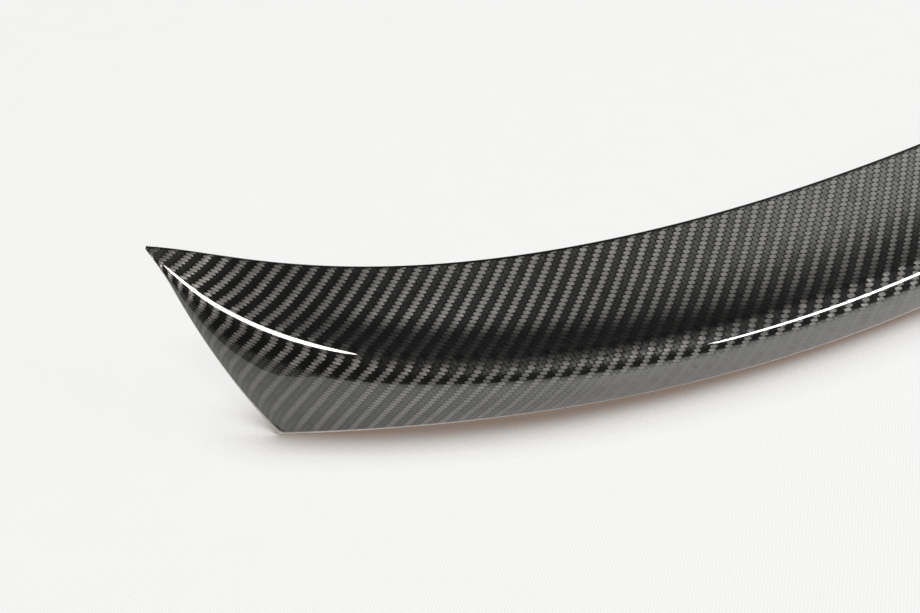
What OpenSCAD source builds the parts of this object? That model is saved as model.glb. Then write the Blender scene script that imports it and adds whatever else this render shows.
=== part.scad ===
// Boot-lid lip spoiler, moulded as one thin laminate shell in carbon twill under clear coat.
// It is drawn as it rests on a table: on its lower edge, with the front edge uppermost.
// X runs along the boot lid, +Y points to the front of the car, and Z is up from the table.
// Three guide curves carry the form: the front edge, the lip and the lower edge. A section
// across the shell hangs on them at each station from the middle out to the pointed ends.

/* [Lower edge] */
// Half of the length between the two lower corners
corner_reach = 541; // [500:1:590]
// How far the lower edge bows rearwards of its corners
lower_bow = 132; // [100:1:160]
// How late along its length that bow turns towards the corner
lower_bow_power = 3.7; // [3:0.1:5]

/* [Pointed ends] */
// How far a tip stands outboard of the lower corner
tip_out = 11.5; // [6:0.5:18]
// How far a tip reaches forward of the lower corner
tip_forward = 59.5; // [50:0.5:68]
// Height of a tip over the lower edge
tip_rise = 63.5; // [56:0.5:70]
// Width of the blunt land that closes a tip
tip_land = 2; // [1:0.1:3]
// How far an end swells out before its edge rolls back under
end_swell = 3; // [2:0.1:4]
// Width over which an end swells out
swell_width = 140; // [110:1:170]
// Width of the band along the end edge that rolls under
roll_width = 45; // [35:1:55]

/* [Front edge] */
// How far the front edge lies forward of the lower edge, at the middle
front_forward = 51; // [42:1:60]
// Height of the front edge at the middle
front_rise = 38; // [32:1:44]
// Sweep of the front edge where it meets the tip, from the length of the part
front_sweep = 23.5; // [18:0.5:30]
// Climb of the front edge where it meets the tip
front_climb = 13.5; // [9:0.5:18]

/* [Lip] */
// How far the lip overhangs the lower edge, at the middle
lip_overhang = 9; // [6:0.5:13]
// Height of the lip at the middle
lip_rise = 15.5; // [13:0.5:20]
// Sweep of the lip where it runs out at the tip
lip_sweep = 77; // [70:0.5:84]
// Climb of the lip where it runs out at the tip
lip_climb = 47; // [41:1:53]
// Length of the lip's rounding on the upper face, at the middle
round_top_mid = 14; // [10:0.5:18]
// Length of the lip's rounding on the upper face, towards the ends
round_top_end = 24.5; // [18:0.5:30]
// Length of the lip's rounding on the rear face, at the middle
round_rear_mid = 9.5; // [7:0.5:12]
// Length of the lip's rounding on the rear face, towards the ends
round_rear_end = 30; // [24:0.5:36]

/* [Laminate] */
// Thickness of the laminate
wall = 2; // [1.2:0.1:2.4]

/* [Hidden] */

// Stations from the middle to one tip, and points across a section
stations = 48;
top_steps = 10;
round_steps = 7;
rear_steps = 7;

// Pulls of the guide curves' handles, as shares of the reach to the corner
front_mid_share = 0.912;
front_end_share = 0.095;
lip_mid_share = 0.995;
lip_end_share = 0.112;

// Scoop of the upper face, as shares of its width: depth at the middle and the ends, and place
scoop_mid_share = 0.078;
scoop_end_share = 0.037;
scoop_place_share = 0.36;

// Belly of the rear face below the rounding, as shares of its height at the middle and the ends
belly_mid_share = 0.12;
belly_end_share = 0.064;

// Pull of the rounding's handles, as a share of its length
round_pull_share = 0.45;

// Width of the upper face, in walls, over which the laminate thins towards a tip
thinning_walls = 3;

tip_reach = corner_reach + tip_out;
tip = [tip_reach, tip_forward, tip_rise];
front_mid = [0, front_forward - lower_bow, front_rise];
lip_mid = [0, -lip_overhang - lower_bow, lip_rise];

function unit(v) = v / norm(v);
function across(v, along) = unit(v - along * (v * along));
function blend(a, b, s) = a + (b - a) * s;
function heading(sweep, climb) = [cos(sweep) * cos(climb), sin(sweep) * cos(climb), sin(climb)];
function curve2(a, b, c, s) = blend(blend(a, b, s), blend(b, c, s), s);
function curve3(a, b, c, d, s) = blend(curve2(a, b, c, s), curve2(b, c, d, s), s);

// The handles that lead the front edge and the lip into the tip, and the lip's own end beside it
front_pull = heading(front_sweep, front_climb) * front_end_share * corner_reach;
lip_pull = heading(lip_sweep, lip_climb) * lip_end_share * corner_reach;
lip_end = tip - unit(lip_pull - front_pull) * tip_land;

// A guide curve leaves the middle along X, and arrives at its end along its last handle
function guide(mid, mid_share, pull, end, t) =
    curve3(mid, mid + [mid_share * corner_reach, 0, 0], end - pull, end, t);
function front_at(t) = guide(front_mid, front_mid_share, front_pull, tip, t);
function lip_at(t) = guide(lip_mid, lip_mid_share, lip_pull, lip_end, t);
function lower_at(x) = [x, -lower_bow * (1 - pow(x / corner_reach, lower_bow_power)), 0];

// A length of rounding that a narrow face shortens, so that it never takes more than half
function fitted(length, face) = length * face / (face + 2 * length);

// The section at station t, from the front edge over the lip to the lower edge
function section(t) =
    let(
        front = front_at(t),
        lip = lip_at(t),
        low = lower_at(min(lip.x / lip_end.x, 1) * corner_reach),
        width = norm(front - lip),
        height = norm(low - lip),
        up_face = unit(front - lip),
        down_face = unit(low - lip),
        round_top = fitted(blend(round_top_mid, round_top_end, t * t), width),
        round_rear = fitted(blend(round_rear_mid, round_rear_end, t * t), height),
        top_end = lip + up_face * round_top,
        rear_start = lip + down_face * round_rear,
        scoop = top_end + up_face * (width - round_top) * scoop_place_share
            + across(low - lip, up_face) * width * blend(scoop_mid_share, scoop_end_share, t * t),
        belly = (rear_start + low) / 2
            - across(front - lip, down_face) * (height - round_rear)
                * blend(belly_mid_share, belly_end_share, t * t),
        top_pull = unit(top_end - scoop) * round_top * round_pull_share,
        rear_pull = unit(rear_start - belly) * round_rear * round_pull_share
    )
    concat(
        [for (k = [0 : top_steps]) curve2(front, scoop, top_end, k / top_steps)],
        [for (k = [1 : round_steps])
            curve3(top_end, top_end + top_pull, rear_start + rear_pull, rear_start, k / round_steps)],
        [for (k = [1 : rear_steps]) curve2(rear_start, belly, low, k / rear_steps)]
    );

// The face that points out of a grid of points, at row i and column j
function outward(grid, i, j) =
    let(
        along = grid[min(i + 1, len(grid) - 1)][j] - grid[max(i - 1, 0)][j],
        down = grid[i][min(j + 1, last_col)] - grid[i][max(j - 1, 0)]
    )
    -unit(cross(along, down));

// Half of the outer face before its end edge is rolled, from the middle to the tip
last_col = top_steps + round_steps + rear_steps;
plain_half = [for (i = [0 : stations]) section(i / stations)];

// The end swells most a third of the way down its edge, and not at all at the tip and the corner
end_row = plain_half[stations];
swell_top = 0.5;
swell_low = 1.13;
function swell_shape(share) = pow(share, swell_top) * pow(1 - share, swell_low);
function swell_at(j) =
    let(share = norm(end_row[j] - end_row[0]) / norm(end_row[last_col] - end_row[0]))
    swell_shape(min(share, 1)) / swell_shape(swell_top / (swell_top + swell_low));
function rolled(i, j) =
    let(
        p = plain_half[i][j],
        away = norm(p - end_row[j]),
        swell = swell_at(j),
        near = swell > 0 ? max(0, 1 - away / (roll_width * sqrt(swell))) : 1,
        spread = max(0, 1 - away / swell_width),
        out = outward(plain_half, i, j)
    )
    near < 1 && spread > 0
        ? p + unit([out.x, out.y, 0]) * end_swell * swell * (1 - near * near) * spread * spread
        : p;
half_face = [for (i = [0 : stations]) [for (j = [0 : last_col]) rolled(i, j)]];

// The outer face as rows of points, from the left tip to the right one
outer = [for (i = [-stations : stations])
    [for (p = half_face[abs(i)]) [p.x * (i < 0 ? -1 : 1), p.y, p.z]]];
last_row = 2 * stations;

// The inner face lies one laminate inside the outer one, and thins out towards the tips. The
// lower edge is trimmed level with the table.
function laminate_at(i) =
    wall * (1 - exp(-norm(outer[i][0] - outer[i][top_steps]) / (thinning_walls * wall)));
function inner_at(i, j, depth) =
    let(p = outer[i][j] - outward(outer, i, j) * depth) [p.x, p.y, max(p.z, 0)];
inner = [for (i = [0 : last_row]) let(depth = laminate_at(i))
    [for (j = [0 : last_col]) inner_at(i, j, depth)]];

// The origin lies under the middle of the whole part
depths = [for (face = [outer, inner]) for (row = face) for (p = row) p.y];
middle_y = (min(depths) + max(depths)) / 2;

module spoiler_shell() {
    row_size = last_col + 1;
    sheet_size = row_size * (last_row + 1);
    function at(i, j) = i * row_size + j;
    function quad(a, b, c, d) = [[a, b, c], [a, c, d]];
    outer_faces = [for (i = [0 : last_row - 1]) for (j = [0 : last_col - 1])
        each quad(at(i, j), at(i + 1, j), at(i + 1, j + 1), at(i, j + 1))];
    inner_faces = [for (i = [0 : last_row - 1]) for (j = [0 : last_col - 1])
        each quad(sheet_size + at(i, j), sheet_size + at(i, j + 1),
            sheet_size + at(i + 1, j + 1), sheet_size + at(i + 1, j))];
    long_edges = [for (i = [0 : last_row - 1])
        each concat(
            quad(at(i, 0), sheet_size + at(i, 0), sheet_size + at(i + 1, 0), at(i + 1, 0)),
            quad(at(i, last_col), at(i + 1, last_col),
                sheet_size + at(i + 1, last_col), sheet_size + at(i, last_col)))];
    end_edges = [for (j = [0 : last_col - 1])
        each concat(
            quad(at(0, j), at(0, j + 1), sheet_size + at(0, j + 1), sheet_size + at(0, j)),
            quad(at(last_row, j), sheet_size + at(last_row, j),
                sheet_size + at(last_row, j + 1), at(last_row, j + 1)))];
    color([0.13, 0.13, 0.13])
        translate([0, -middle_y, 0])
            polyhedron(
                points = [for (sheet = [outer, inner]) for (row = sheet) each row],
                faces = concat(outer_faces, inner_faces, long_edges, end_edges),
                convexity = 6);
}

spoiler_shell();
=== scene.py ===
import math

import bpy
import numpy as np
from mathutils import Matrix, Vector


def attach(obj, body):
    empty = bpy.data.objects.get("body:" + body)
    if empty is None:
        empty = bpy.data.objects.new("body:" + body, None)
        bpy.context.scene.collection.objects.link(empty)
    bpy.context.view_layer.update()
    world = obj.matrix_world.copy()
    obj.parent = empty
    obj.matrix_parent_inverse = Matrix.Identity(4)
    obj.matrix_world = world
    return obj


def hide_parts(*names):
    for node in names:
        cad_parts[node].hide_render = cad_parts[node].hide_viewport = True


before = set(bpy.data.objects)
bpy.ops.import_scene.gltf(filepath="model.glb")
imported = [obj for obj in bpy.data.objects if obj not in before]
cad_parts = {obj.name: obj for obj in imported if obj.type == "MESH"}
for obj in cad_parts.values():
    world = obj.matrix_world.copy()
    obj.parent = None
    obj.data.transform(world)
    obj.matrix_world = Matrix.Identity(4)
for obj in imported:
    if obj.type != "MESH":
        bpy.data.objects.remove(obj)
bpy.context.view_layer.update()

# The spoiler is one thin shell of carbon twill laminate, laid up in a female mould, so that its
# outer face is the smooth one. Three guide curves carry it, the front edge, the lip and the
# lower edge, and its trimmed edges are broken by hand. All lengths here are in millimetres.

REACH = 541.0
BOW, BOW_POWER = 132.0, 3.7
TIP = np.array([REACH + 11.5, 59.5, 63.5])
TIP_LAND = 2.0
FRONT_MID, LIP_MID = np.array([0, 51 - BOW, 38.0]), np.array([0, -9 - BOW, 15.5])
FRONT_SWEEP, FRONT_CLIMB, LIP_SWEEP, LIP_CLIMB = 23.5, 13.5, 77.0, 47.0
FRONT_MID_SHARE, FRONT_END_SHARE, LIP_MID_SHARE, LIP_END_SHARE = 0.912, 0.095, 0.995, 0.112
ROUND_TOP, ROUND_REAR, ROUND_PULL = (14.0, 24.5), (9.5, 30.0), 0.45
SCOOP_PLACE, SCOOP_DEPTH, BELLY_DEPTH = 0.36, (0.078, 0.037), (0.12, 0.064)
END_SWELL, SWELL_WIDTH, ROLL_WIDTH = 3.0, 140.0, 45.0
SWELL_TOP, SWELL_LOW = 0.5, 1.13
ROWS, TOP_COLUMNS, ROUND_COLUMNS, REAR_COLUMNS = 190, 46, 22, 30
CROWDING = 1.25


def length_of(v):
    """Length of each vector: the square root of the sum of its squares."""
    return np.linalg.norm(v, axis=-1, keepdims=True)


def unit(v):
    """Each vector over its own length."""
    return v / length_of(v)


def square_to(v, along):
    """Unit part of v that stands square to along: v less its share along it."""
    return unit(v - along * (v * along).sum(-1, keepdims=True))


def blend(a, b, s):
    """Straight way from a to b: a plus s times the difference."""
    return a + (b - a) * s


def bend(a, b, c, s):
    """Quadratic curve from a to c, pulled towards b: a blend of two blends."""
    return blend(blend(a, b, s), blend(b, c, s), s)


def sweep(a, b, c, d, s):
    """Cubic curve from a to d with handles b and c: a blend of two quadratic curves."""
    return blend(bend(a, b, c, s), bend(b, c, d, s), s)


def heading(turn, climb):
    """Unit vector turned from +X towards +Y by one angle and raised by the other."""
    turn, climb = math.radians(turn), math.radians(climb)
    level = math.cos(climb)
    return np.array([math.cos(turn) * level, math.sin(turn) * level, math.sin(climb)])


def fitted(length, face):
    """Length of a rounding on a narrow face: length times face over (face plus twice length)."""
    return length * face / (face + 2 * length)


def section(t, top_steps, round_steps, rear_steps):
    """Rows of points across the shell: a quadratic curve for the scooped upper face, a cubic one
    for the rounded lip and a quadratic one for the bellied rear face, hung on the guide curves."""
    t = t[:, None]
    along = np.array([REACH, 0.0, 0.0])
    front_pull = heading(FRONT_SWEEP, FRONT_CLIMB) * FRONT_END_SHARE * REACH
    lip_pull = heading(LIP_SWEEP, LIP_CLIMB) * LIP_END_SHARE * REACH
    lip_end = TIP - unit(lip_pull - front_pull) * TIP_LAND
    front = sweep(FRONT_MID, FRONT_MID + FRONT_MID_SHARE * along, TIP - front_pull, TIP, t)
    lip = sweep(LIP_MID, LIP_MID + LIP_MID_SHARE * along, lip_end - lip_pull, lip_end, t)
    x = np.minimum(lip[:, :1] / lip_end[0], 1) * REACH
    low = np.concatenate([x, -BOW * (1 - (x / REACH) ** BOW_POWER), 0 * x], 1)
    width, height = length_of(front - lip), length_of(low - lip)
    up, down = unit(front - lip), unit(low - lip)
    round_top = fitted(blend(*ROUND_TOP, t * t), width)
    round_rear = fitted(blend(*ROUND_REAR, t * t), height)
    top_end, rear_start = lip + up * round_top, lip + down * round_rear
    scoop = top_end + up * (width - round_top) * SCOOP_PLACE
    scoop = scoop + square_to(low - lip, up) * width * blend(*SCOOP_DEPTH, t * t)
    depth = (height - round_rear) * blend(*BELLY_DEPTH, t * t)
    belly = (rear_start + low) / 2 - square_to(front - lip, down) * depth
    top_handle = top_end + unit(top_end - scoop) * round_top * ROUND_PULL
    rear_handle = rear_start + unit(rear_start - belly) * round_rear * ROUND_PULL
    points = [bend(front, scoop, top_end, s) for s in top_steps]
    points += [sweep(top_end, top_handle, rear_handle, rear_start, s) for s in round_steps]
    points += [bend(rear_start, belly, low, s) for s in rear_steps]
    return np.stack(points, 1)


def outward(grid):
    """Unit normal at each point: minus the cross product of the ways along and down the grid,
    each taken between the two neighbours of the point."""
    along, down = np.empty_like(grid), np.empty_like(grid)
    along[1:-1], along[0], along[-1] = grid[2:] - grid[:-2], grid[1] - grid[0], grid[-1] - grid[-2]
    down[:, 1:-1] = grid[:, 2:] - grid[:, :-2]
    down[:, 0], down[:, -1] = grid[:, 1] - grid[:, 0], grid[:, -1] - grid[:, -2]
    return -unit(np.cross(along, down))


def swell_shape(share):
    """Share of the swell down the end edge: share to one power times its complement to another."""
    return share**SWELL_TOP * (1 - share) ** SWELL_LOW


def swollen(grid):
    """The end swells outwards and its edge rolls back under: the swell at that height, times one
    less the square of the nearness to the edge, times the square of what is left of the width."""
    end = grid[-1]
    share = np.minimum(length_of(end - end[0]) / length_of(end[-1] - end[0]), 1)
    swell = swell_shape(share) / swell_shape(SWELL_TOP / (SWELL_TOP + SWELL_LOW))
    away = length_of(grid - end)
    near = np.maximum(0, 1 - away / np.maximum(ROLL_WIDTH * np.sqrt(swell), 1e-6))
    spread = np.maximum(0, 1 - away / SWELL_WIDTH)
    return grid + unit(outward(grid) * [1, 1, 0]) * END_SWELL * swell * (1 - near**2) * spread**2


def steps(count):
    """Shares from 0 to 1 in that many equal steps."""
    return np.linspace(0, 1, count + 1)


stations = 1 - (1 - steps(ROWS)) ** CROWDING
half = swollen(section(
    stations, steps(TOP_COLUMNS), steps(ROUND_COLUMNS)[1:], steps(REAR_COLUMNS)[1:]))

# The cloth of the laminate is draped in the mould with its tows along the front edge. It is
# sheared as it wraps the bow, so each point holds which tow of either family lies there: the
# cross tows are numbered along the edge, and the long ones down the face by their pitch.

EDGE_SCALE = 600.0


def step(x, start, length):
    """Smooth step of x, from 0 at start to 1 a length further on, which may be minus: with s the
    share of that length, held in 0 to 1, it is the square of s times three less twice s."""
    s = np.clip((x - start) / length, 0, 1)
    return s * s * (3 - 2 * s)


def bell(x, middle, width):
    """Bell of x: e to the power of minus the square of (x less middle) over the width."""
    return np.exp(-(((x - middle) / width) ** 2))


edge_run = np.cumsum(length_of(np.diff(half[:, 0], axis=0)))
share = np.concatenate([[0], edge_run])[:, None] / EDGE_SCALE
face_run = np.cumsum(length_of(np.diff(half, axis=1))[..., 0], 1)
face_run = np.concatenate([np.zeros((ROWS + 1, 1)), face_run], 1)
crest = face_run[:, TOP_COLUMNS + ROUND_COLUMNS // 2, None]
on_top, behind = np.minimum(face_run, crest), np.maximum(face_run - crest, 0)

past = np.maximum(share - 0.5, 0)
along_edge = 257.31 * share + 240.01 * past**2 - 196.87 * past**3
shear_top = 0.1774 * share + 0.2725 * share**3
shear_rear = 0.36 * share - 0.2 * step(share, 0.6, 0.2) - 0.06 * step(share, 0.82, 0.2)
cross_tow = along_edge + on_top * shear_top + behind * shear_rear
pitch_top = 2.0537 - 0.1569 * share**2 - 0.82 * share**4
pitch_rear = 1.75 - 0.45 * step(share, 0.45, 0.2)
long_tow = on_top / pitch_top + behind / pitch_rear

# Light and shade over the face are painted into the cloth's colour. Behind the lip, along the ends
# and at the front towards the middle the two families are painted alike, as if evenly lit. The
# hollow and the ends are painted darker as shade, and mid span and the lip's crest lighter as
# their shine. Each field is made of steps and bells.

hollow_run = face_run / crest
turn_end = face_run[:, int(TOP_COLUMNS + 0.85 * ROUND_COLUMNS), None]
from_end = length_of(half - half[-1:])[..., 0]
painted_crest_light = bell(face_run, crest + 0.4, 1.5) * step(share, 0.86, -0.12) * step(share, 0.56, 0.08)
painted_even_behind = step(face_run, turn_end, 3) * (1 - 0.55 * step(share, 0.68, 0.14))
painted_front_light = 0.86 * step(share, 0.72, -0.24) * step(1.7 * hollow_run, 1.5, -1)
painted_even_end = 0.9 * step(from_end, 30.8, -28) * (face_run > crest)
painted_evenness = np.max([painted_even_behind, 0.3 * painted_crest_light, painted_front_light, painted_even_end], 0)

hollow_start = 0.48 + 0.9 * (0.78 - share)
painted_hollow_shade = step(hollow_run, hollow_start, 0.22) * step(hollow_run, 0.98, -0.08)
painted_hollow_shade = painted_hollow_shade * step(share, 0.45, 0.15) * step(share, 0.9, -0.06)
painted_mid_span_light = bell(share, 0.74, 0.12) * step(hollow_run, 0.8, -0.35)
painted_end_shade = step(share, 0.76, 0.13) * (1 - 0.92 * step(share, 0.915, 0.04))
painted_end_shade = blend(painted_end_shade, 0.35 * step(share, 0.8, 0.12), step(face_run, crest, 12))
painted_strip_shade = bell(face_run, crest, 6) * step(share, 0.68, -0.1)
painted_brightness = (1 - 0.84 * painted_hollow_shade) * (1 + 1.1 * painted_mid_span_light) * (1 + painted_front_light)
painted_brightness = painted_brightness * (1 + 0.9 * painted_crest_light) * (1 - 0.66 * painted_end_shade) * (1 - 0.55 * painted_strip_shade)

# The right half mirrors the left one. The trimmed edges are broken with abrasive paper, and lines
# of points close beside each edge, at the distances in BORDER, carry the small radius.

EDGE_BREAK = 0.45
BORDER = (0.1, 0.24, EDGE_BREAK)
BORDER_SHARE = 0.9


def mirrored(field, sign=1):
    """The whole of a field from its half: the half reversed, times sign, and then the half."""
    return np.concatenate([sign * field[:0:-1], field])


def beside(edge, neighbour):
    """Rows beside an edge row: blends of it and its neighbour by the distance over their spacing,
    at most an even share of BORDER_SHARE, so that close rows keep their order."""
    spacing = length_of(neighbour[..., :3] - edge[..., :3])
    most = [BORDER_SHARE * k / len(BORDER) for k in range(1, len(BORDER) + 1)]
    return [blend(edge, neighbour, np.minimum(s / spacing, m)) for s, m in zip(BORDER, most)]


def with_border(field):
    """The field with rows added beside its first and its last one."""
    first, last = field[:1], field[-1:]
    rows = [first, *beside(first, field[1:2]), field[1:-1], *beside(last, field[-2:-1])[::-1], last]
    return np.concatenate(rows)


grid = mirrored(half)
grid[:ROWS, :, 0] *= -1
fields = [mirrored(cross_tow, -1), mirrored(long_tow), mirrored(painted_evenness), mirrored(painted_brightness)]
bundle = np.concatenate([grid, np.stack(fields, -1)], -1)
for axis in (0, 1):
    bundle = np.swapaxes(with_border(np.swapaxes(bundle, 0, axis)), 0, axis)
outer, cloth, painted_evenness, painted_brightness = bundle[..., :3], bundle[..., 3:5], bundle[..., 5], bundle[..., 6]

# The inner face lies one laminate inside, and thins out with the width of the face at a tip. It
# is trimmed level with the table, and both faces fall back by the break along every edge.

WALL, THINNING_WALLS = 2.0, 3
BREAK_SHARE = 0.45


def edge_depth(points):
    """How far the broken edge lies under the face at each point: the break's radius less the
    root of (radius squared less the square of what is left of it), by distance from the edges."""
    depth = 0
    for axis in (0, 1):
        p = np.swapaxes(points, 0, axis)
        from_a, from_b = length_of(p - p[:1]), length_of(p - p[-1:])
        left = np.clip(EDGE_BREAK - np.minimum(from_a, from_b), 0, EDGE_BREAK)
        fall = EDGE_BREAK - np.sqrt(EDGE_BREAK**2 - left**2)
        depth = np.maximum(depth, np.swapaxes(fall, 0, axis))
    return depth


normals = outward(outer)
width = length_of(outer[:, 0] - outer[:, TOP_COLUMNS + len(BORDER)])
laminate = (WALL * (1 - np.exp(-width / (THINNING_WALLS * WALL))))[:, None]
inner = outer - normals * laminate
inner[..., 2] = np.maximum(inner[..., 2], 0)
drop = np.minimum(edge_depth(outer), BREAK_SHARE * laminate)
outer = outer - normals * drop
inner = inner + normals * drop
both = np.stack([outer, inner])
both[..., 2] = np.maximum(both[..., 2], 0)
both[..., 1] -= (both[..., 1].min() + both[..., 1].max()) / 2

# The two faces and the four edges between them are one closed mesh, with three finishes: clear
# coat outside, sanded laminate on the edges, and the side of the vacuum bag inside.

OUTSIDE, EDGE, INSIDE = 0, 1, 2


def quads(first, second):
    """Faces between two lines or grids of point numbers: two neighbours down the first, and the
    two beside them, in the other order, in the second."""
    return np.stack([first[:-1], first[1:], second[1:], second[:-1]], -1).reshape(-1, 4)


rows, cols = outer.shape[:2]
outer_ids, inner_ids = np.arange(2 * rows * cols).reshape(2, rows, cols)
faces = np.concatenate([
    quads(outer_ids[:, :-1], outer_ids[:, 1:]), quads(inner_ids[:-1].T, inner_ids[1:].T),
    quads(inner_ids[:, 0], outer_ids[:, 0]), quads(outer_ids[:, -1], inner_ids[:, -1]),
    quads(outer_ids[0], inner_ids[0]), quads(inner_ids[-1], outer_ids[-1]),
])
sheet = (rows - 1) * (cols - 1)
finish = np.repeat([OUTSIDE, INSIDE, EDGE], [sheet, sheet, len(faces) - 2 * sheet])

mesh = bpy.data.meshes.new("laminate_shell")
mesh.from_pydata((both.reshape(-1, 3) / 1000).tolist(), [], faces.tolist())
mesh.polygons.foreach_set("use_smooth", np.ones(len(faces), bool))
mesh.polygons.foreach_set("material_index", finish.astype(np.int32))
weave_map = mesh.uv_layers.new(name="cloth")
weave_map.data.foreach_set("uv", np.tile(cloth.reshape(-1, 2), (2, 1))[faces.ravel()].ravel())

# The painted highlight line follows the lower edge and, wider, the ends, and fades out near
# the front edge
from_low, from_front = length_of(outer - outer[:, -1:]), length_of(outer - outer[:, :1])
from_ends = np.minimum(length_of(outer - outer[:1]), length_of(outer - outer[-1:]))
from_edge_highlight = np.maximum(np.minimum(from_low, 0.7 * from_ends), 2 - from_front / 5)
for name, field in (("from_edge_highlight", from_edge_highlight), ("painted_even_cloth", painted_evenness), ("painted_cloth_brightness", painted_brightness)):
    held = mesh.attributes.new(name, "FLOAT", "POINT")
    held.data.foreach_set("value", np.tile(field.ravel(), 2).astype(np.float32))
mesh.validate()
shell = bpy.data.objects.new("laminate_shell", mesh)
bpy.context.collection.objects.link(shell)
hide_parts("spoiler_shell")
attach(shell, "root")

# Outside, the cloth shows through the clear coat as a 2x2 twill: a tow passes over two and
# under two, one step along at each row. Its filaments lie fore and aft in one family and across
# the car in the other; the shine of the one is painted light into its colour and the shade of the
# other painted dark, and each tow differs a little from the next.

# The tows' shine and shade are painted: long ones light, cross ones dark, alike where evenly lit
LIT_LONG_TOW = (0.31, 0.3, 0.282, 1)
SHADED_CROSS_TOW = (0.026, 0.027, 0.026, 1)
EVENLY_LIT_LONG_TOW = (0.168, 0.167, 0.161, 1)
EVENLY_LIT_CROSS_TOW = (0.15, 0.15, 0.146, 1)
RESIN = (0.006, 0.006, 0.006, 1)
# The light line along the trim is a painted highlight of the broken edge
PAINTED_EDGE_HIGHLIGHT = (0.8, 0.76, 0.72, 1)
REPEAT = 4
TURN = 2 * math.pi / REPEAT
WANDER = 0.22
ROUNDNESS = 0.5
ALONG_TOW, ACROSS_TOW = 0.35, 9.0
PIECES, FILAMENTS = 2, 40
METAL = 0.9


class Wire:
    """An output of a node. Arithmetic on wires and numbers adds Math nodes to their material."""

    def __init__(self, tree, socket=None):
        self.tree, self.socket = tree, socket

    def node(self, kind, settings, values, out=0):
        """Adds any node: its settings first, then the values or links of its inputs."""
        made = self.tree.nodes.new(kind)
        for name, value in settings.items():
            setattr(made, name, value)
        for key, value in values.items():
            if isinstance(value, Wire):
                self.tree.links.new(value.socket, made.inputs[key])
            else:
                made.inputs[key].default_value = value
        return Wire(self.tree, made.outputs[out]) if len(made.outputs) else made

    def other(self, out):
        """Another output of the node that this wire leaves."""
        return Wire(self.tree, self.socket.node.outputs[out])

    def math(self, operation, *values):
        """A Math node on wires and numbers."""
        return self.node("ShaderNodeMath", {"operation": operation}, dict(enumerate(values)))

    def __add__(self, other):
        return self.math("ADD", self, other)

    def __sub__(self, other):
        return self.math("SUBTRACT", self, other)

    def __rsub__(self, other):
        return self.math("SUBTRACT", other, self)

    def __mul__(self, other):
        return self.math("MULTIPLY", self, other)

    def __truediv__(self, other):
        return self.math("DIVIDE", self, other)

    def __mod__(self, other):
        return self.math("FLOORED_MODULO", self, other)

    __radd__, __rmul__ = __add__, __mul__

    def floor(self):
        return self.math("FLOOR", self)

    def sine(self):
        return self.math("SINE", self)

    def vector(self, operation, *values):
        """A Vector Math node on wires."""
        return self.node("ShaderNodeVectorMath", {"operation": operation}, dict(enumerate(values)))

    def scaled(self, by):
        """This vector times a number."""
        return self.node("ShaderNodeVectorMath", {"operation": "SCALE"}, {0: self, 3: by})

    def ramp(self, low, high, to_low=0.0, to_high=1.0):
        """Smooth step from to_low to to_high while the wire goes from low to high."""
        values = {"Value": self, 1: low, 2: high, 3: to_low, 4: to_high}
        return self.node("ShaderNodeMapRange", {"interpolation_type": "SMOOTHSTEP"}, values)

    def mix(self, a, b):
        """Colour a where the wire is 0 and colour b where it is 1."""
        return self.node("ShaderNodeMix", {"data_type": "RGBA"}, {0: self, 6: a, 7: b}, 2)

    def attribute(self, name):
        """The mesh's own value of that name."""
        return self.node("ShaderNodeAttribute", {"attribute_name": name}, {}, "Fac")

    def noise(self, scale, detail, dimensions="3D"):
        """Soft noise at the point that this wire carries."""
        values = {"Vector": self, "Scale": scale, "Detail": detail}
        return self.node("ShaderNodeTexNoise", {"noise_dimensions": dimensions}, values)


def material(name):
    """An empty material, and the wire that its nodes start from."""
    made = bpy.data.materials.new(name)
    made.use_nodes = True
    made.node_tree.nodes.clear()
    return made, Wire(made.node_tree)


def flat_point(x, y):
    """A point on a flat map."""
    return x.node("ShaderNodeCombineXYZ", {}, {0: x, 1: y})


def chance(x, y):
    """A random number from 0 to 1 for each point on a flat map."""
    at = flat_point(x, y)
    return x.node("ShaderNodeTexWhiteNoise", {"noise_dimensions": "2D"}, {"Vector": at})


twill, start = material("carbon_twill_under_clear_coat")
cloth_at = start.node("ShaderNodeUVMap", {"uv_map": "cloth"}, {})
u = start.node("ShaderNodeSeparateXYZ", {}, {0: cloth_at})
v = u.other("Y")
u = u + (cloth_at.noise(0.35, 1.0, "2D") - 0.5) * WANDER
v = v + (cloth_at.noise(0.23, 1.0, "2D") - 0.5) * WANDER
row, column = v.floor(), u.floor()
off_u, off_v = (u - column - 0.5) * 2, (v - row - 0.5) * 2
long_height = (((u + row) % REPEAT) * TURN).sine() - off_v * off_v * ROUNDNESS
cross_height = ((((v + column) % REPEAT) - REPEAT / 2) * TURN).sine() - off_u * off_u * ROUNDNESS
over = (long_height - cross_height).ramp(-0.12, 0.12)
height = u.math("MAXIMUM", long_height, cross_height)
gap = height.ramp(0.0, 0.55)

streak_long = flat_point(u * ALONG_TOW, v * ACROSS_TOW).noise(1.0, 2.0, "2D")
streak_cross = flat_point(u * ACROSS_TOW, v * ALONG_TOW).noise(1.0, 2.0, "2D")
float_long = chance(((u + row) / REPEAT).floor(), row)
float_cross = chance(column, ((v + column) / REPEAT).floor())
shade_long = (0.72 + 0.56 * streak_long) * (0.86 + 0.28 * float_long)
shade_cross = (0.6 + 0.8 * streak_cross) * (0.7 + 0.6 * float_cross)
# The painted evenness of the two tow families comes from the mesh
flat = u.attribute("painted_even_cloth")
long_colour = shade_long.mix(RESIN, flat.mix(LIT_LONG_TOW, EVENLY_LIT_LONG_TOW))
cross_colour = shade_cross.mix(RESIN, flat.mix(SHADED_CROSS_TOW, EVENLY_LIT_CROSS_TOW))
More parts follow.
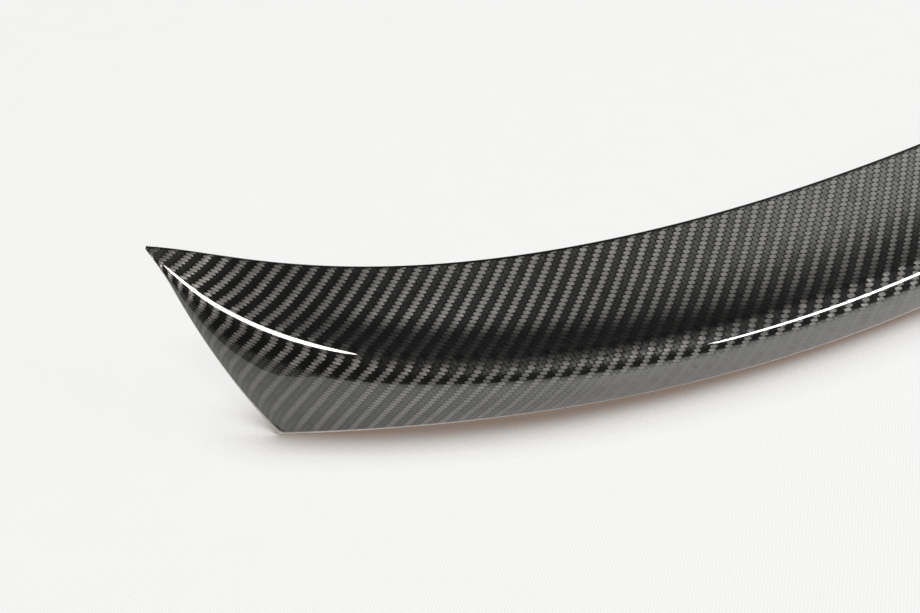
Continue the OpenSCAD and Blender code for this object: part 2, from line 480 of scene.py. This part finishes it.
# The painted light and shade of the cloth scale its colour
colour = over.mix(cross_colour, long_colour).scaled(u.attribute("painted_cloth_brightness"))
colour = u.math("MAXIMUM", gap, (flat - 0.88) * 7.0).mix(RESIN, colour)

# The colour is dark in a thin band along the front edge; a painted highlight runs along the trim
colour = v.ramp(0.45, 1.0).mix(RESIN, colour)
colour = u.attribute("from_edge_highlight").ramp(0.8, 1.5).mix(PAINTED_EDGE_HIGHLIGHT, colour)

# Each filament leans the normal its own way, down the face or along it, less where painted even
face_normal = u.node("ShaderNodeNewGeometry", {}, {}, "Normal")
tangent = {"direction_type": "UV_MAP", "uv_map": "cloth"}
along_row = u.node("ShaderNodeTangent", tangent, {})
down_face = u.vector("CROSS_PRODUCT", face_normal, along_row)
filament_long = chance((u * PIECES).floor(), (v * FILAMENTS).floor())
filament_cross = chance((u * FILAMENTS).floor(), (v * PIECES).floor())
lean_share = 1 - 0.7 * flat
lean_down = down_face.scaled((filament_long - 0.5) * 0.8 * over * lean_share)
lean_along = along_row.scaled((filament_cross - 0.5) * (1 - over) * lean_share)
leaned = u.vector("NORMALIZE", u.vector("ADD", face_normal, u.vector("ADD", lean_down, lean_along)))
bump = u.node("ShaderNodeBump", {}, {
    "Strength": 1.0, "Distance": 0.00005, "Height": height, "Normal": leaned})
coated = u.node("ShaderNodeBsdfPrincipled", {}, {
    "Base Color": colour, "Metallic": METAL - METAL * flat, "Roughness": 0.34, "Normal": bump,
    "Coat Weight": 1.0, "Coat Roughness": 0.03, "Coat IOR": 1.75})
u.node("ShaderNodeOutputMaterial", {}, {"Surface": coated})

# The trimmed edge is cut with a diamond wheel and sanded, so the plies show as fine dark and
# light grain along it under a thin coat.

PLY_DARK, PLY_LIGHT = (0.02, 0.02, 0.02, 1), (0.075, 0.073, 0.07, 1)

trimmed, start = material("trimmed_laminate_edge")
grain = start.node("ShaderNodeTexCoord", {}, {}, "Object").noise(900.0, 3.0)
edge_colour = grain.ramp(0.35, 0.65).mix(PLY_DARK, PLY_LIGHT)
edge_bump = start.node("ShaderNodeBump", {}, {
    "Strength": 0.6, "Distance": 0.00005, "Height": grain})
edge_coat = start.node("ShaderNodeBsdfPrincipled", {}, {
    "Base Color": edge_colour, "Roughness": grain.ramp(0.2, 0.8, 0.35, 0.6), "Normal": edge_bump,
    "Coat Weight": 0.6, "Coat Roughness": 0.12})
start.node("ShaderNodeOutputMaterial", {}, {"Surface": edge_coat})

# Inside, the laminate is as the vacuum bag left it: the same cloth, matt, with peel-ply texture
# and a little resin print, where the adhesive takes.

BAG_DARK, BAG_LIGHT = (0.03, 0.03, 0.03, 1), (0.13, 0.127, 0.122, 1)
PEEL = 19.0

bagged, start = material("matt_bag_side")
cloth_in = start.node("ShaderNodeUVMap", {"uv_map": "cloth"}, {})
u = start.node("ShaderNodeSeparateXYZ", {}, {0: cloth_in})
v = u.other("Y")
ply = (((u + v.floor()) % REPEAT) * TURN).sine()
peel = (u * PEEL).sine() * (v * PEEL).sine()
resin_print = u.node("ShaderNodeTexCoord", {}, {}, "Object").noise(60.0, 4.0)
inside_colour = (ply.ramp(-0.4, 0.4) * 0.5 + resin_print * 0.5).mix(BAG_DARK, BAG_LIGHT)
inside_bump = u.node("ShaderNodeBump", {}, {
    "Strength": 0.7, "Distance": 0.0001, "Height": ply * 0.6 + peel * 0.4})
inside = u.node("ShaderNodeBsdfPrincipled", {}, {
    "Base Color": inside_colour, "Roughness": resin_print.ramp(0.3, 0.7, 0.62, 0.78),
    "Normal": inside_bump})
u.node("ShaderNodeOutputMaterial", {}, {"Surface": inside})

for finish_of in (twill, trimmed, bagged):
    mesh.materials.append(finish_of)

# The spoiler lies on a table spread with white cotton canvas, a plain weave of fine threads that
# runs on past the picture on every side. A soft brown shadow lies where the two come close.

FLOOR_HALF = 6.0
THREAD = 1.2
WEAVE_TURN = math.radians(-32)
THREAD_LOW, THREAD_TOP = (0.86, 0.859, 0.852, 1), (1.0, 0.999, 0.992, 1)
CONTACT_SHADOW = (0.24, 0.185, 0.15, 1)
CAMERA_GLOW, MIRROR_GLOW = 0.84, 0.47

corners = np.array([[-1, -1], [1, -1], [1, 1], [-1, 1]]) * FLOOR_HALF
canvas_mesh = bpy.data.meshes.new("canvas")
canvas_mesh.from_pydata([(x, y, 0.0) for x, y in corners.tolist()], [], [(0, 1, 2, 3)])
canvas = bpy.data.objects.new("canvas", canvas_mesh)
bpy.context.collection.objects.link(canvas)

cotton, start = material("white_cotton_canvas")
spot = start.node("ShaderNodeTexCoord", {}, {}, "Object")
turned = start.node("ShaderNodeMapping", {}, {
    "Vector": spot, "Rotation": (0, 0, WEAVE_TURN), "Scale": (1000.0, 1000.0, 1000.0)})
over_cloth = start.node("ShaderNodeSeparateXYZ", {}, {0: turned})
warp, weft = over_cloth / THREAD, over_cloth.other("Y") / THREAD
checker = (warp.floor() + weft.floor()) % 2
warp_height, weft_height = ((warp % 1) * math.pi).sine(), ((weft % 1) * math.pi).sine()
thread_height = checker * warp_height + (1 - checker) * weft_height
slub = turned.noise(0.05, 3.0)
cotton_colour = (thread_height * 0.85 + slub * 0.15).mix(THREAD_LOW, THREAD_TOP)
openness = start.node("ShaderNodeAmbientOcclusion", {"samples": 8}, {"Distance": 0.028}, "AO")
camera_rays = start.node("ShaderNodeLightPath", {}, {}, "Is Camera Ray")
glossy_rays = camera_rays.other("Is Glossy Ray")
lit = start.math("MAXIMUM", openness.ramp(0.5, 0.98), glossy_rays)
cotton_colour = lit.mix(CONTACT_SHADOW, cotton_colour)
cotton_bump = start.node("ShaderNodeBump", {}, {
    "Strength": 0.35, "Distance": 0.00012, "Height": thread_height})
cotton_face = start.node("ShaderNodeBsdfPrincipled", {}, {
    "Base Color": cotton_colour, "Roughness": 0.9, "Normal": cotton_bump,
    "Specular IOR Level": 0.15})
bright = start.node("ShaderNodeEmission", {}, {"Color": cotton_colour, "Strength": 1.0})
glow = camera_rays * CAMERA_GLOW + glossy_rays * MIRROR_GLOW
shown = start.node("ShaderNodeMixShader", {}, {0: glow, 1: cotton_face, 2: bright})
start.node("ShaderNodeOutputMaterial", {}, {"Surface": shown})
canvas_mesh.materials.append(cotton)

# The camera stands behind the left corner of the boot lid, 30 degrees above the table, where
# the left tip and a little over half of that side fill the picture.

SIGHT = Vector((0.6130, 0.6117, -0.5))
camera_data = bpy.data.cameras.new("camera")
camera_data.lens, camera_data.sensor_width = 74.35, 36.0
camera_data.sensor_fit = "HORIZONTAL"
camera_data.clip_start, camera_data.clip_end = 0.05, 50.0
camera = bpy.data.objects.new("camera", camera_data)
camera.location = (-0.9193, -0.4356, 0.4048)
camera.rotation_euler = SIGHT.to_track_quat("-Z", "Y").to_euler()
bpy.context.collection.objects.link(camera)
bpy.context.scene.camera = camera

# The light is a studio's: one soft box high behind the camera, whose mirror image is the white
# line along the lip, a strip to the right, a weak panel ahead, and a dim room around the table.

WARM = (1.0, 0.97, 0.93)
COOL = (0.96, 0.985, 1.0)


def direction(turn, rise):
    """Unit vector to a light: turn in degrees from straight ahead of the camera to its right,
    rise in degrees over the table."""
    turn, rise = math.radians(turn), math.radians(rise)
    ahead = Vector((SIGHT.x, SIGHT.y, 0)).normalized()
    right = Vector((ahead.y, -ahead.x, 0))
    level = ahead * math.cos(turn) + right * math.sin(turn)
    return level * math.cos(rise) + Vector((0, 0, math.sin(rise)))


def soft_box(name, aim, turn, rise, distance, size, radiance, tint=(1, 1, 1), shape="RECTANGLE"):
    """A flat lamp that faces aim. Its power is pi times its area times its radiance."""
    lamp = bpy.data.lights.new(name, "AREA")
    lamp.shape, lamp.size, lamp.size_y = shape, size[0], size[1]
    area = size[0] * size[1] * (1 if shape == "RECTANGLE" else math.pi / 4)
    lamp.energy, lamp.color = math.pi * area * radiance, tint
    made = bpy.data.objects.new(name, lamp)
    made.location = Vector(aim) + direction(turn, rise) * distance
    made.rotation_euler = (-direction(turn, rise)).to_track_quat("-Z", "Y").to_euler()
    bpy.context.collection.objects.link(made)


soft_box(
    "main_soft_box", (-0.46, 0.0, 0.04), turn=191, rise=61, distance=2.0, size=(0.7, 0.42),
    radiance=22.0, tint=WARM, shape="ELLIPSE")
soft_box(
    "right_strip", (-0.3, -0.05, 0.02), turn=90, rise=30.5, distance=1.6, size=(1.7, 0.1),
    radiance=26.0)
soft_box(
    "back_panel", (-0.3, 0.0, 0.02), turn=-30, rise=62, distance=2.0, size=(1.2, 0.9),
    radiance=3.0, tint=COOL)

room = bpy.data.worlds.new("dim_room")
bpy.context.scene.world = room
room.use_nodes = True
room.node_tree.nodes.clear()
start = Wire(room.node_tree)
seen = start.node("ShaderNodeLightPath", {}, {}, "Is Camera Ray")
dim = start.node("ShaderNodeBackground", {}, {"Color": (*WARM, 1), "Strength": 0.06})
pale = start.node("ShaderNodeBackground", {}, {"Color": (1, 1, 1, 1), "Strength": 0.95})
shown = start.node("ShaderNodeMixShader", {}, {0: seen, 1: dim, 2: pale})
start.node("ShaderNodeOutputWorld", {}, {"Surface": shown})

bpy.context.scene.view_settings.view_transform = "Standard"
